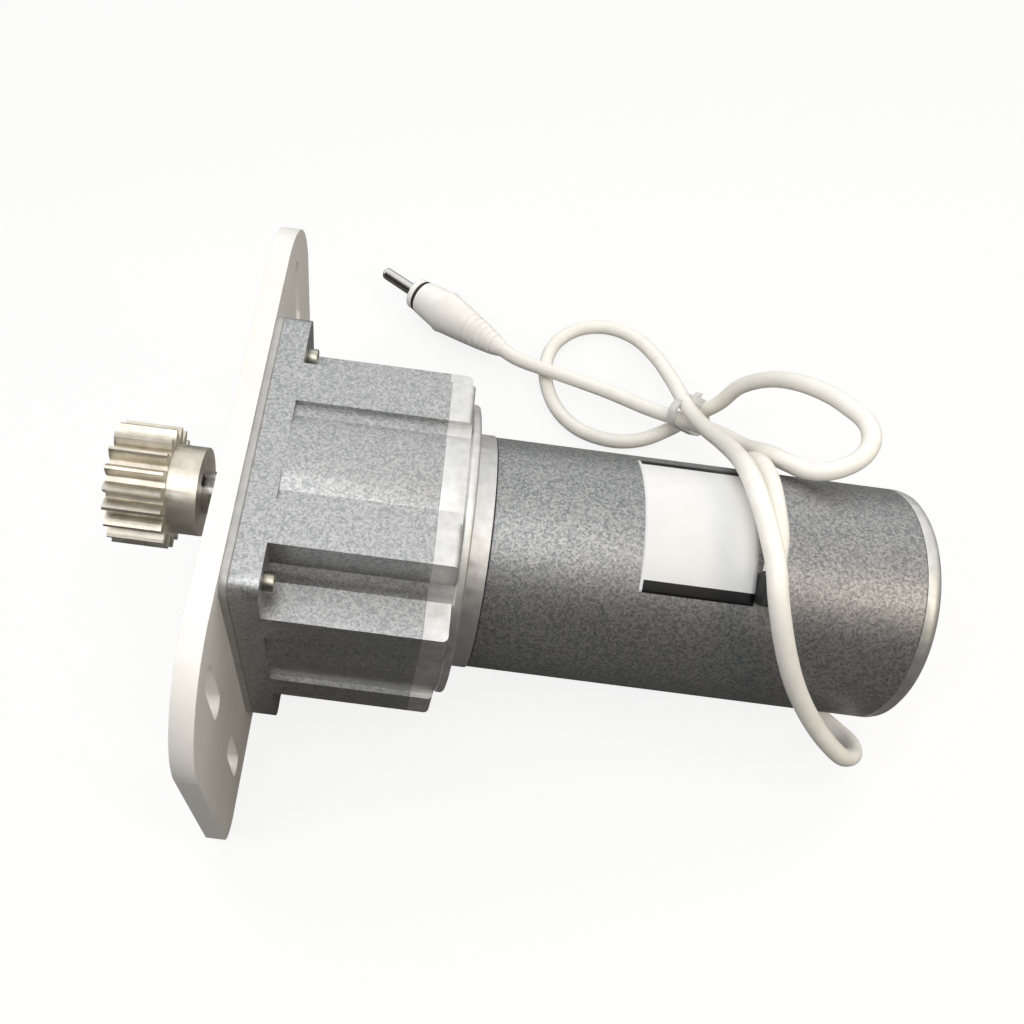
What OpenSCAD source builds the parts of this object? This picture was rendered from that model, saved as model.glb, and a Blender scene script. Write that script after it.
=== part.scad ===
// Electric gearmotor on a slotted mounting plate, with drive pinion, cord and plug.
// The X axis runs along the output shaft from the drive pinion to the motor's rear.
// Y runs along the plate, Z across it. The origin is on the output shaft's axis,
// at the outer face of the plate. All sizes are in millimetres.

/* [Mounting plate] */
// Plate length along Y
plate_length = 217; // [213:1:235]
// Plate width along Z
plate_width = 136; // [134:2:150]
// Plate thickness
plate_thickness = 7.5; // [6:0.5:9]
// Width of each mounting slot
slot_width = 8.5; // [6.5:0.5:10.5]
// Length of each mounting slot
slot_length = 34; // [24:1:40]
// Distance between slots along the plate
slot_pitch_long = 164; // [156:2:168]
// Distance between slots across the plate
slot_pitch_short = 70; // [66:1:72]

/* [Drive pinion] */
// Number of teeth on the drive pinion
pinion_teeth = 19; // [17:1:24]
// Module of the drive pinion
pinion_module = 2.15; // [1.75:0.05:2.25]
// Face width of the drive pinion's teeth
pinion_face = 20.5; // [12:0.5:30]

/* [Motor] */
// Length of the motor tube
tube_length = 143.5; // [140:0.5:170]
// Outer radius of the motor tube
tube_radius = 42; // [38:0.5:46]

/* [Cord] */
// Diameter of the power cord
cord_diameter = 6.5; // [5:0.5:6.5]

/* [Hidden] */
$fn = 64;
// Which node to draw

// Gap between pieces fixed to each other, and radial gap of a turning fit
fit = 0.02;
run = 0.03;
// Small overlap for clean cuts
eps = 0.1;

// Lengths along X, from the plate to the rear
boss_length = 7;
cover_thick = 2.4;
gasket_thick = 0.4;
spigot_length = 6.1;
flange_thick = 9.2;
gear_space = 39.7;
partition_thick = 6;
rear_space = 14;
pad_thick = 8;
round_thick = 3.5;
ring_length = 6.8;
bell_thick = 5.6;

// Stations along X
x_cover = plate_thickness;
x_boss = x_cover - boss_length;
x_gasket = x_cover + cover_thick;
x_flange = x_gasket + gasket_thick;
x_spigot_end = x_gasket + spigot_length;
x_body = x_flange + flange_thick;
x_partition = x_flange + gear_space;
x_rear_space = x_partition + partition_thick;
x_adapter = x_rear_space + rear_space;
x_round = x_adapter + pad_thick;
x_ring = x_round + round_thick;
x_tube = x_ring + ring_length;
x_bell = x_tube + tube_length;
x_end = x_bell + bell_thick;

// Plate outline
plate_center = [-1.5, -15];
slot_rise = 1;
plate_top_radius = 40;
plate_low_radius = 12;
plate_bore = 25;
slot_points = [for (sy = [-1, 1], sz = [-1, 1])
    plate_center + [sy * slot_pitch_long / 2, sz * slot_pitch_short / 2 + slot_rise]];

// Gear case
motor_offset = 10;
motor_axis = [-motor_offset, 0];
output_axis = [0, 0];
case_half = 52;
case_corner = 6;
flange_far = 56;
flange_low = 66;
web_drop = 2;
case_bore = 44;
pad_center = 26.75;
pad_half = 7.75;
pad_round = 2;
case_screw_reach = 43.5;
square_signs = [[-1, -1], [1, -1], [1, 1], [-1, 1]];
case_screw_points = [for (s = square_signs) motor_axis + case_screw_reach * s];
plate_screw_reach = 26.9;
plate_screw_points = [for (s = square_signs) motor_axis + plate_screw_reach * s];
adapter_screw_reach = [26, 39.5];
adapter_screw_points = [for (s = square_signs)
    motor_axis + [adapter_screw_reach[0] * s[0], adapter_screw_reach[1] * s[1]]];
round_step = 0.5;
round_chamfer = 0.8;
round_edge = 1.2;

// Screws: heads, shanks, sockets and how deep they hold
sink = 0.1;
head_rim = 0.4;
hole_room = 0.2;
plate_screw_head = 4.7;
plate_screw_shank = 2.5;
plate_screw_socket = 1.8;
plate_screw_rest = 2;
case_screw_head = 3.3;
case_screw_high = 3.5;
case_screw_shank = 2;
case_screw_socket = 1.7;
case_screw_grip = 5;
adapter_screw_head = 4;
adapter_screw_shank = 2;
adapter_screw_socket = 1.5;
adapter_screw_grip = 8;
bolt_head = 4.3;
bolt_head_high = 3.4;
bolt_shank = 2.5;
bolt_socket = 2;
bolt_grip = 13;

// Bearings, seal, circlips and bushes
shield_depth = 0.4;
shoulder_gap = 0.2;
seal_radius = 15;
seal_width = 3.2;
seal_lip = 1.6;
seal_skin = 1.4;
seal_seat = 3.5;
front_bearing_radius = 17.5;
front_bearing_width = 9;
rear_bearing_radius = 14;
rear_bearing_width = 8;
rear_bearing_reach = 3;
motor_bearing_radius = 15;
motor_bearing_width = 9;
tail_bearing_radius = 13;
tail_bearing_width = 8;
tail_floor = 1.9;
clip_thick = 1.2;
clip_room = 0.05;
clip_grip = 1.1;
clip_arc = 320;
bush_radius = 5;
bush_length = 5;
x_front_bearing = x_boss + seal_seat;
x_clip = x_front_bearing + front_bearing_width + clip_room;
x_front_bush = x_spigot_end - bush_length;
x_rear_bearing = x_partition - rear_bearing_reach;
x_tail_bearing = x_bell - tail_floor - tail_bearing_width;

// Reduction of 60 to 1 in three stages
pressure_angle = 25;
backlash = 0.22;
stage_pinion_teeth = 12;
wheel_teeth = 48;
output_teeth = 45;
first_module = 0.75;
second_module = 0.8;
third_module = 1;
first_centers = first_module * (stage_pinion_teeth + wheel_teeth) / 2;
second_centers = second_module * (stage_pinion_teeth + wheel_teeth) / 2;
third_centers = third_module * (stage_pinion_teeth + output_teeth) / 2;
second_axis = output_axis - [third_centers, 0];
second_reach = motor_axis[0] - second_axis[0];
first_swing = acos((pow(first_centers, 2) + pow(second_reach, 2) - pow(second_centers, 2))
    / (2 * first_centers * second_reach));
first_axis = motor_axis + first_centers * [-cos(first_swing), sin(first_swing)];

// Direction from one axis to another, and the turn of a wheel that meshes with a pinion
function heading(a, b) = atan2(b[1] - a[1], b[0] - a[0]);
function mesh_turn(alpha, n1, n2, turn1) =
    alpha + 180 - (n1 / n2) * (turn1 - alpha) - 180 / n2;
first_turn = mesh_turn(heading(motor_axis, first_axis), stage_pinion_teeth, wheel_teeth, 0);
second_turn = mesh_turn(heading(first_axis, second_axis), stage_pinion_teeth, wheel_teeth, 0);
output_turn = mesh_turn(heading(second_axis, output_axis), stage_pinion_teeth, output_teeth, 0);
output_face = 14;
second_face = 9;
first_face = 8;
stage_gap = 3;
pinion_overhang = 0.5;
wheel_hub_radius = 7;
wheel_hub_front = 1;
wheel_hub_back = 2;
x_output_gear = x_spigot_end + stage_gap;
x_output_end = x_output_gear + output_face;
x_second_gear = x_output_end + stage_gap;
x_second_end = x_second_gear + second_face;
x_first_gear = x_rear_space + stage_gap;
x_first_end = x_first_gear + first_face;

// Shafts, keys and the drive pinion's hub
output_shaft_radius = 8;
output_shoulder_radius = 10;
output_neck_radius = 7;
output_tail_radius = 6;
gear_shaft_radius = 3;
gear_shaft_room = 0.4;
pinion_seat_radius = 2.5;
motor_shaft_radius = 5;
core_shaft_radius = 6;
shaft_chamfer = 0.8;
key_width = 5;
key_floor = 5;
key_top = 10;
key_inset = 2;
pinion_gap = 14.8;
pinion_hub_length = 11;
pinion_hub_radius = 16.5;
pinion_backlash = 0.1;
set_screw_radius = 3;
set_screw_length = 7;
set_screw_socket = 1.6;
set_screw_socket_depth = 3;
x_pinion_hub_end = x_boss - pinion_gap;
x_pinion_hub = x_pinion_hub_end - pinion_hub_length;
x_pinion_front = x_pinion_hub - pinion_face;
x_set_screw = (x_pinion_hub + x_pinion_hub_end) / 2;

// Motor
tube_wall = 4;
tube_bore = tube_radius - tube_wall;
ring_step = 0.5;
tube_spigot = 4;
tube_spigot_wall = 4;
adapter_floor = 4;
bearing_boss_wall = 4;
boss_room = 0.3;
magnet_thick = 6.8;
magnet_over = 4;
magnet_arc = 130;
air_gap = 0.8;
core_radius = tube_bore - magnet_thick - air_gap;
core_slots = 12;
core_slot_radius = 3.2;
core_slot_depth = 4.9;
core_slot_mouth = 2;
core_slot_reach = core_radius - core_slot_depth;
front_space = 15.7;
core_to_bell = 67.9;
x_core = x_tube + front_space;
x_core_end = x_bell - core_to_bell;
winding_reach = 10;
winding_taper = 3;
winding_inset = 1.4;
winding_room = 3;
commutator_to_bell = 51.9;
commutator_radius = 15;
commutator_length = 20;
commutator_bars = 24;
bar_gap = 0.6;
bar_gap_depth = 1.2;
x_commutator = x_bell - commutator_to_bell;
brushes_to_bell = 45.9;
brush_ring_width = 8;
brush_ring_bore = 17;
brush_pocket_inset = 3.9;
brush_size = [5, 8];
brush_gap = 0.05;
brush_length = 9;
brush_back = commutator_radius + brush_length;
brush_pocket_end = tube_bore - brush_pocket_inset;
x_brush_ring = x_bell - brushes_to_bell;
x_brushes = x_brush_ring + brush_ring_width / 2;
spring_turns = 4;
spring_steps = 10;
spring_wire = 0.4;
spring_radius = 1.9;
bolt_inset = 3.5;
bolt_angles = [90, 270];
bolt_points = [for (a = bolt_angles) motor_axis + (tube_bore - bolt_inset) * [cos(a), sin(a)]];
bell_round = 3.2;
bell_spigot = 6;
bell_spigot_wall = 7;
tail_boss_wall = 4;
tail_boss_room = 2.1;

// Label and grommet
label_start = 51;
label_arc = 76;
label_length = 37.6;
label_thick = 0.15;
label_gap = 0.05;
grommet_to_bell = 52.8;
grommet_angle = 120;
stem_radius = 3;
stem_inset = 0.6;
stem_reach = 2;
hood_start = 112;
hood_arc = 13;
hood_half = 3.35;
hood_height = 7.9;
hood_chamfer = 1;
x_grommet = x_bell - grommet_to_bell;
x_label = x_grommet - hood_half - label_gap - label_length;

// Plug: pin tip, direction, and its pieces along its axis
plug_tip = [34, 183.6, -67.4];
plug_way = [0.772, -0.62, 0.139];
pin_radius = 3;
pin_core = 2.6;
pin_length = 23;
pin_round = 2.2;
pin_neck = 0.4;
collar_radius = 7.8;
collar_length = 3.2;
o_ring_radius = 8;
o_ring_width = 1.8;
plug_body_radius = 8.3;
plug_body_flare = 10.1;
plug_body_length = 14.5;
plug_edge = 0.5;
boot_radius = 10.5;
boot_rim = 2.2;
boot_cone = 10.2;
boot_tail = 3.6;
boot_length = 39.3;
boot_taper = 0.75;
boot_ribs = 6;
rib_start = 15.5;
rib_pitch = 3.2;
groove_width = 1;
groove_depth = 0.5;
groove_slope = 0.1;
collar_end = pin_length + collar_length;
o_ring_end = collar_end + o_ring_width;
plug_body_end = o_ring_end + plug_body_length;
boot_end = plug_body_end + boot_length;

// Tie: middle, direction of the strands, and long direction of the band
tie_middle = [180.6, 90.7, -35];
tie_way = [0.45, -0.57, 0.68];
tie_long = [0.85, 0.05, -0.52];
tie_half = 4.4;
tie_radius = 5.2;
tie_thick = 1.2;
tie_width = 4.6;
tie_head = [6, 3.6, 5.4];
tie_tail = [1.2, 2.4, 3.6];
tie_sink = 0.3;

// Middle line of the cord from inside the plug's boot to the grommet, drawn for a tube of this
// radius about an axis at this offset, with the grommet at this station
route_tube_radius = 42;
route_offset = 10;
route_grommet = 179;
cord_points = [
    [91, 138, -57], [97, 133, -56], [105, 127, -54.5], [118, 121, -52], [133, 114.5, -49],
    [148, 107.5, -46], [165, 97.5, -41.5], [181, 88, -35], [188, 71, -18], [191, 53.5, -1],
    [190, 35.5, 21], [192, 24, 32.5], [197.5, 18, 37.5], [204.5, 17, 41.5], [212, 21, 44.5],
    [216, 28, 45.5], [216.5, 37.5, 43.5], [213, 46, 40], [209, 56, 34], [203.5, 67.5, 24.5],
    [198, 79, 11], [193, 88, -6.5], [190.5, 92, -24], [185, 95, -38], [176, 92, -46.5],
    [164, 87, -51], [151, 86, -53.5], [137, 91, -56], [127, 101, -58], [121, 114, -59],
    [119, 128, -59], [122, 141, -58.5], [130, 150, -57], [140, 154, -55.5], [151, 153, -53.5],
    [162, 145, -50], [170, 129, -44], [174.5, 110, -36], [178, 89, -27], [178, 66, -8.5],
    [176.5, 44, 13], [173.5, 23.5, 33.5], [172, 8, 46], [173, -5, 50.5], [174.5, -17, 52],
    [176.5, -29, 51], [178.5, -39, 46.5], [183.5, -47.5, 37], [190, -53.5, 26], [197.5, -57.5, 15],
    [206, -61, 4.5], [215, -64, -5], [224.5, -65.5, -14], [232.5, -61.5, -22], [236.5, -54, -30.5],
    [235, -47.5, -36.5], [229, -40, -40], [220, -32, -41.5], [208, -25, -43.5], [197.5, -16.5, -45.5],
    [191, -5, -46.5], [187, 7, -47], [185, 20, -45.5], [186, 32, -38], [187, 39, -25],
    [188, 40, -10], [187, 37, 4], [184, 32, 19.5], [181.5, 21, 34], [180.5, 8.5, 42.5],
    [180.5, -5, 45.5], [180.5, -17, 45.5], [179, -27.5, 42.8]
];
// Place of a route point once the tube has its size: as far off the tube's skin as drawn
function off_tube(p) =
    let (q = [p[1] + route_offset, p[2]])
    let (k = 1 + (tube_radius - route_tube_radius) / norm(q))
    [p[0] + x_grommet - route_grommet, motor_axis[0] + k * q[0], k * q[1]];
cord_route = [for (p = cord_points) off_tube(p)];
plug_shift = cord_route[0] - cord_points[0];
cord_radius = cord_diameter / 2;
cord_sides = 10;
rings_per_leg = 2;
gap_steps = 5;

// Point on a smooth curve through the cord points
function cord_at(p, i, t) =
    let (n = len(p))
    let (a = p[max(i - 1, 0)], b = p[i], c = p[min(i + 1, n - 1)], d = p[min(i + 2, n - 1)])
    0.5 * (2 * b + (c - a) * t + (2 * a - 5 * b + 4 * c - d) * t * t
        + (3 * b - a - 3 * c + d) * t * t * t);
function cord_line(p, steps) = concat(
    [for (i = [0 : len(p) - 2], k = [0 : steps - 1]) cord_at(p, i, k / steps)],
    [p[len(p) - 1]]);
function unit(v) = v / norm(v);
function line_way(p, i) = unit(p[min(i + 1, len(p) - 1)] - p[max(i - 1, 0)]);
function square_to(v, way) = unit(v - (v * way) * way);

// Least distance between points of the line that are well apart along it
function least_gap(p, apart) = min(
    [for (i = [0 : len(p) - 1 - apart], j = [i + apart : len(p) - 1]) norm(p[i] - p[j])]);
cord_fine = cord_line(cord_route, gap_steps);
echo("least gap of the cord to itself in mm",
    least_gap(cord_fine, 3 * gap_steps) - cord_diameter);

// Involute tooth outline
function involute(a) = tan(a) * 180 / PI - a;
function tooth_angle(r, rb, half) =
    half + involute(pressure_angle) - (r > rb ? involute(acos(rb / r)) : 0);
function gear_outline(n, m, turn, slack, steps) =
    let (rp = n * m / 2, ra = rp + m, rf = rp - 1.25 * m, rb = rp * cos(pressure_angle))
    let (half = (PI * m / 2 - slack / 2) / (2 * rp) * 180 / PI)
    let (start = max(rf, rb))
    let (climb = concat(rf < rb ? [rf] : [], [for (k = [0 : steps]) start + (ra - start) * k / steps]))
    let (last = len(climb) - 1)
    [for (i = [0 : n - 1], k = [0 : 2 * last + 1])
        let (up = k <= last, r = up ? climb[k] : climb[2 * last + 1 - k])
        let (side = up ? -1 : 1)
        let (a = turn + 360 * i / n + side * tooth_angle(r, rb, half))
        r * [cos(a), sin(a)]];

// Lay children along the X axis: local X goes to Y, local Y to Z, local Z to X
module at_x(x, c = [0, 0]) {
    translate([x, c[0], c[1]]) rotate([90, 0, 90]) children();
}

// Round bar between two stations
module rod(r, x0, x1, c = [0, 0]) {
    at_x(x0, c) cylinder(r = r, h = x1 - x0);
}

// Round tube between two stations
module pipe(ro, ri, x0, x1, c = [0, 0]) {
    difference() {
        rod(ro, x0, x1, c);
        rod(ri, x0 - eps, x1 + eps, c);
    }
}

// Solid of revolution about an axis along X, from points of radius and station
module spun(points, c = [0, 0]) {
    at_x(0, c) rotate_extrude() polygon(points);
}

// Box from its least to its greatest corner
module box(a, b) {
    translate(a) cube(b - a);
}

// Six-sided bar between two stations
module hexagon(r, x0, x1, c = [0, 0]) {
    at_x(x0, c) linear_extrude(x1 - x0)
        polygon([for (k = [0 : 5]) r * [cos(60 * k), sin(60 * k)]]);
}

// Gear blank with teeth
module gear(n, m, turn, x0, x1, c, steps = 3, slack = backlash) {
    at_x(x0, c) linear_extrude(x1 - x0) polygon(gear_outline(n, m, turn, slack, steps));
}

// Ball bearing with grooves in both faces at the shields
module bearing(ri, ro, x0, x1, c) {
    a = ri + (ro - ri) * 0.3;
    b = ri + (ro - ri) * 0.7;
    d = shield_depth;
    spun([[ri, x0], [a, x0], [a, x0 + d], [b, x0 + d], [b, x0], [ro, x0], [ro, x1],
        [b, x1], [b, x1 - d], [a, x1 - d], [a, x1], [ri, x1]], c);
}

// Flange with round corners that reaches past the case at its far and low edges
module case_flange(x0, x1) {
    r = case_corner;
    y0 = motor_axis[0] - case_half;
    y1 = motor_axis[0] + flange_far;
    z0 = -flange_low;
    z1 = case_half;
    box([x0, y0 + r, z0], [x1, y1 - r, z1]);
    box([x0, y0, z0 + r], [x1, y1, z1 - r]);
    for (y = [y0 + r, y1 - r], z = [z0 + r, z1 - r]) rod(r, x0, x1, [y, z]);
}

// Pair of square pads on opposite sides of the case, their rear edges rounded where there is a radius
module case_pads(x0, x1, y, edge) {
    q = case_half;
    box([x0, y - pad_half, edge - q], [x1, y + pad_half, q - edge]);
    if (edge > 0) {
        box([x0, y - pad_half, -q], [x1 - edge, y + pad_half, q]);
        for (s = [-1, 1]) translate([x1 - edge, y - pad_half, s * (q - edge)])
            rotate([-90, 0, 0]) cylinder(r = edge, h = 2 * pad_half);
    }
}

// Round case body with square pads and flat webs between them
module case_body(x0, x1, edge = 0) {
    w = case_half - web_drop;
    p = pad_center;
    rod(case_half, x0, x1, motor_axis);
    translate([0, motor_axis[0], 0]) for (turn = [0, 90]) rotate([turn, 0, 0]) {
        box([x0, -p, -w], [x1, p, w]);
        for (s = [-1, 1]) case_pads(x0, x1, s * p, edge);
    }
}

// Slot with round ends along Z
module slot(width, length, c) {
    reach = (length - width) / 2;
    for (s = [-1, 1]) rod(width / 2, -eps, plate_thickness + eps, c + [0, s * reach]);
    box([-eps, c[0] - width / 2, c[1] - reach], [plate_thickness + eps, c[0] + width / 2, c[1] + reach]);
}

// Flat-head screw that points along +X from its head's face
module flat_screw(x, x_tip, head, shank, grow, c) {
    fall = head - shank;
    spun([[0, x], [head + grow, x], [head + grow, x + head_rim], [shank + grow, x + head_rim + fall],
        [shank + grow, x_tip], [0, x_tip]], c);
}

// Flat-head screw that points along -X from its head's face
module flat_screw_back(x, x_tip, head, shank, grow, c) {
    fall = head - shank;
    spun([[0, x_tip], [shank + grow, x_tip], [shank + grow, x - head_rim - fall],
        [head + grow, x - head_rim], [head + grow, x], [0, x]], c);
}

module mounting_plate() {
    y0 = plate_center[0] - plate_length / 2;
    y1 = plate_center[0] + plate_length / 2;
    z0 = plate_center[1] - plate_width / 2;
    z1 = plate_center[1] + plate_width / 2;
    rt = plate_top_radius;
    rl = plate_low_radius;
    t = plate_thickness;
    color("#dcd8cc") difference() {
        union() {
            box([0, y0 + rt, z0], [t, y1 - rt, z1]);
            box([0, y0, z0 + rl], [t, y1, z1 - rt]);
            box([0, y0 + rl, z0], [t, y1 - rl, z0 + 2 * rl]);
            for (y = [y0 + rt, y1 - rt]) rod(rt, 0, t, [y, z1 - rt]);
            for (y = [y0 + rl, y1 - rl]) rod(rl, 0, t, [y, z0 + rl]);
        }
        rod(plate_bore, -eps, t + eps, output_axis);
        for (c = slot_points) slot(slot_width, slot_length, c);
        for (c = plate_screw_points) {
            flat_screw(0, t + eps, plate_screw_head, plate_screw_shank, fit, c);
            rod(plate_screw_head + fit, -eps, eps, c);
        }
        for (c = case_screw_points)
            rod(case_screw_shank + fit, t - case_screw_grip - hole_room, t + eps, c);
    }
}

module plate_screws() {
    color("#6a6a68") for (c = plate_screw_points) difference() {
        flat_screw(sink, x_spigot_end - plate_screw_rest, plate_screw_head - sink, plate_screw_shank, 0, c);
        hexagon(plate_screw_socket, -eps, plate_screw_socket, c);
    }
}

module case_cover() {
    clip_seat = front_bearing_radius + clip_grip;
    color("#d8d8d4") difference() {
        union() {
            case_flange(x_cover, x_gasket);
            rod(plate_bore - fit, x_boss, x_cover + eps, output_axis);
            rod(case_bore - fit, x_gasket - eps, x_spigot_end, motor_axis);
        }
        rod(seal_radius + fit, x_boss - eps, x_front_bearing + eps, output_axis);
        rod(front_bearing_radius + fit, x_front_bearing, x_spigot_end + eps, output_axis);
        rod(clip_seat, x_clip, x_clip + clip_thick + 2 * clip_room, output_axis);
        for (c = [first_axis, second_axis])
            rod(bush_radius + fit, x_front_bush - eps, x_spigot_end + eps, c);
        for (c = case_screw_points) rod(case_screw_shank + hole_room, x_cover - eps, x_gasket + eps, c);
        for (c = plate_screw_points)
            rod(plate_screw_shank + fit, x_cover - eps, x_spigot_end - plate_screw_rest + eps, c);
    }
}

module case_gasket() {
    color("#3a3a38") difference() {
        case_flange(x_gasket, x_flange);
        rod(case_bore, x_gasket - eps, x_flange + eps, motor_axis);
        for (c = case_screw_points) rod(case_screw_shank + hole_room, x_gasket - eps, x_flange + eps, c);
    }
}

module gear_case() {
    color("#a5a5a3") difference() {
        union() {
            difference() {
                union() {
                    case_flange(x_flange, x_body);
                    case_body(x_body - eps, x_adapter);
                }
                rod(case_bore, x_flange - eps, x_partition, motor_axis);
                rod(case_bore, x_rear_space, x_adapter + eps, motor_axis);
            }
            rod(rear_bearing_radius + rear_bearing_reach, x_rear_bearing - 1, x_partition + eps,
                output_axis);
        }
        rod(rear_bearing_radius + fit, x_rear_bearing - 1 - eps, x_rear_bearing + rear_bearing_width,
            output_axis);
        rod(bush_radius + fit, x_partition - eps, x_partition + bush_length, second_axis);
        rod(bush_radius, x_partition - eps, x_rear_space + eps, first_axis);
        for (c = case_screw_points) rod(case_screw_shank + hole_room, x_flange - eps, x_body + eps, c);
        for (c = adapter_screw_points)
            rod(adapter_screw_shank + fit, x_adapter - adapter_screw_grip - hole_room, x_adapter + eps, c);
    }
}

module case_screws() {
    top = x_body + case_screw_high;
    color("#55565a") for (c = case_screw_points) difference() {
        union() {
            rod(case_screw_shank, plate_thickness - case_screw_grip, x_body + eps, c);
            rod(case_screw_head, x_body, top, c);
        }
        hexagon(case_screw_socket, top - case_screw_socket, top + eps, c);
    }
}

module motor_adapter() {
    f = case_half + round_step;
    x_back = x_tube + tube_spigot;
    x_floor = x_round + adapter_floor;
    bearing_boss = motor_bearing_radius + bearing_boss_wall;
    edge = [for (a = [0 : 30 : 90])
        [f - round_edge * (1 - cos(a)), x_ring - round_edge * (1 - sin(a))]];
    color("#d8d8d4") difference() {
        union() {
            case_body(x_adapter, x_round, pad_round);
            spun(concat([[0, x_round - eps], [f - round_chamfer, x_round - eps],
                [f - round_chamfer, x_round], [f, x_round + round_chamfer]], edge,
                [[0, x_ring]]), motor_axis);
            rod(tube_radius + ring_step, x_ring - eps, x_tube, motor_axis);
            rod(tube_bore - fit, x_tube - eps, x_back, motor_axis);
        }
        difference() {
            rod(tube_bore - tube_spigot_wall, x_floor, x_back + eps, motor_axis);
            rod(bearing_boss, x_floor - eps, x_tube - boss_room, motor_axis);
        }
        rod(motor_bearing_radius + fit, x_round, x_tube, motor_axis);
        rod(motor_shaft_radius + 2 * shaft_chamfer, x_adapter - eps, x_round + eps, motor_axis);
        rod(bush_radius + fit, x_adapter - eps, x_adapter + bush_length + 1, first_axis);
        for (c = bolt_points) rod(bolt_shank + fit, x_tube - bolt_grip - boss_room, x_back + eps, c);
        for (c = adapter_screw_points) {
            flat_screw_back(x_ring, x_adapter - eps, adapter_screw_head, adapter_screw_shank, fit, c);
            rod(adapter_screw_head + fit, x_ring - eps, x_ring + eps, c);
        }
    }
}

module adapter_screws() {
    color("#6a6a68") for (c = adapter_screw_points) difference() {
        flat_screw_back(x_ring - sink, x_adapter - adapter_screw_grip, adapter_screw_head - sink,
            adapter_screw_shank, 0, c);
        hexagon(adapter_screw_socket, x_ring - sink - adapter_screw_socket, x_ring + eps, c);
    }
}

module front_motor_bearing() {
    color("#c4c4c6") bearing(motor_shaft_radius + run, motor_bearing_radius, x_round,
        x_round + motor_bearing_width, motor_axis);
}

// Lay children outward from the motor's axis at the grommet
module at_grommet() {
    at_x(x_grommet, motor_axis) rotate([0, 0, grommet_angle]) rotate([0, 90, 0]) children();
}

module motor_tube() {
    color("#90908e") difference() {
        pipe(tube_radius, tube_bore, x_tube, x_bell, motor_axis);
        at_grommet() translate([0, 0, tube_bore - 1]) cylinder(r = stem_radius + fit, h = tube_wall + 2);
    }
}

module rating_label() {
    r0 = tube_radius + fit / 2;
    r1 = r0 + label_thick;
    color("#f2f2ee") at_x(x_label, motor_axis) rotate([0, 0, label_start])
        rotate_extrude(angle = label_arc)
        polygon([[r0, 0], [r1, 0], [r1, label_length], [r0, label_length]]);
}

module field_magnets() {
    r0 = core_radius + air_gap;
    r1 = tube_bore - fit;
    x0 = x_core - magnet_over;
    x1 = x_core_end + magnet_over;
    color("#4a4644") for (a = [0, 180]) at_x(0, motor_axis) rotate([0, 0, a - magnet_arc / 2])
        rotate_extrude(angle = magnet_arc) polygon([[r0, x0], [r1, x0], [r1, x1], [r0, x1]]);
}

module rear_bell() {
    r = tube_radius;
    edge = [for (a = [0 : 30 : 90]) [r - bell_round * (1 - cos(a)), x_end - bell_round * (1 - sin(a))]];
    x_boss_end = x_tail_bearing - tail_boss_room;
    color("#d8d8d4") difference() {
        union() {
            spun(concat([[0, x_bell], [r, x_bell]], edge, [[0, x_end]]), motor_axis);
            pipe(tube_bore - fit, tube_bore - bell_spigot_wall, x_bell - bell_spigot, x_bell + eps,
                motor_axis);
            rod(tail_bearing_radius + tail_boss_wall, x_boss_end, x_bell + eps, motor_axis);
        }
        rod(tail_bearing_radius + fit, x_boss_end - eps, x_bell - tail_floor, motor_axis);
        for (c = bolt_points) {
            rod(bolt_shank + fit, x_bell - bell_spigot - eps, x_end + eps, c);
            rod(bolt_head + eps, x_end - bolt_head_high - hole_room, x_end + eps, c);
        }
    }
}

module through_bolts() {
    x_head = x_end - bolt_head_high - hole_room;
    top = x_end - hole_room;
    color("#6a6a68") for (c = bolt_points) difference() {
        union() {
            rod(bolt_shank, x_tube - bolt_grip, x_head + eps, c);
            rod(bolt_head, x_head, top, c);
        }
        hexagon(bolt_socket, top - bolt_socket, top + eps, c);
    }
}

module rear_motor_bearing() {
    color("#c4c4c6") bearing(motor_shaft_radius + run, tail_bearing_radius, x_tail_bearing,
        x_tail_bearing + tail_bearing_width, motor_axis);
}

module brush_holder() {
    x1 = x_brush_ring + brush_ring_width;
    pocket = brush_pocket_end - brush_ring_bore + 1;
    middle = brush_pocket_end - pocket / 2;
    color("#5a3a2a") difference() {
        pipe(tube_bore - fit, brush_ring_bore, x_brush_ring, x1, motor_axis);
        for (s = [-1, 1]) translate([x_brushes, motor_axis[0] + s * middle, 0])
            cube([brush_size[0] + 2 * fit, pocket, brush_size[1] + 2 * fit], center = true);
        for (c = bolt_points) rod(bolt_shank + eps, x_brush_ring - eps, x1 + eps, c);
    }
}

module brushes() {
    r0 = commutator_radius + brush_gap;
    color("#2e2e30") for (s = [-1, 1])
        translate([x_brushes, motor_axis[0] + s * (r0 + brush_back) / 2, 0])
        cube([brush_size[0], brush_back - r0, brush_size[1]], center = true);
}

// Coil spring behind each brush, a tube of six sides along a screw line
module brush_springs() {
    rings = spring_turns * spring_steps;
    start = brush_back + fit + spring_wire;
    long = brush_pocket_end - fit - spring_wire - start;
    line = [for (k = [0 : rings]) let (a = 360 * k / spring_steps)
        [spring_radius * cos(a), spring_radius * sin(a), start + long * k / rings]];
    color("#b8b4a8") for (a = [0, 180])
        at_x(x_brushes, motor_axis) rotate([0, 0, a]) rotate([0, 90, 0]) tube_along(line, spring_wire, 6);
}

module output_bearing_front() {
    color("#c4c4c6") bearing(output_shaft_radius + run, front_bearing_radius, x_front_bearing,
        x_front_bearing + front_bearing_width, output_axis);
}

module output_bearing_rear() {
    color("#c4c4c6") bearing(output_tail_radius + run, rear_bearing_radius, x_rear_bearing,
        x_rear_bearing + rear_bearing_width, output_axis);
}

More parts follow.
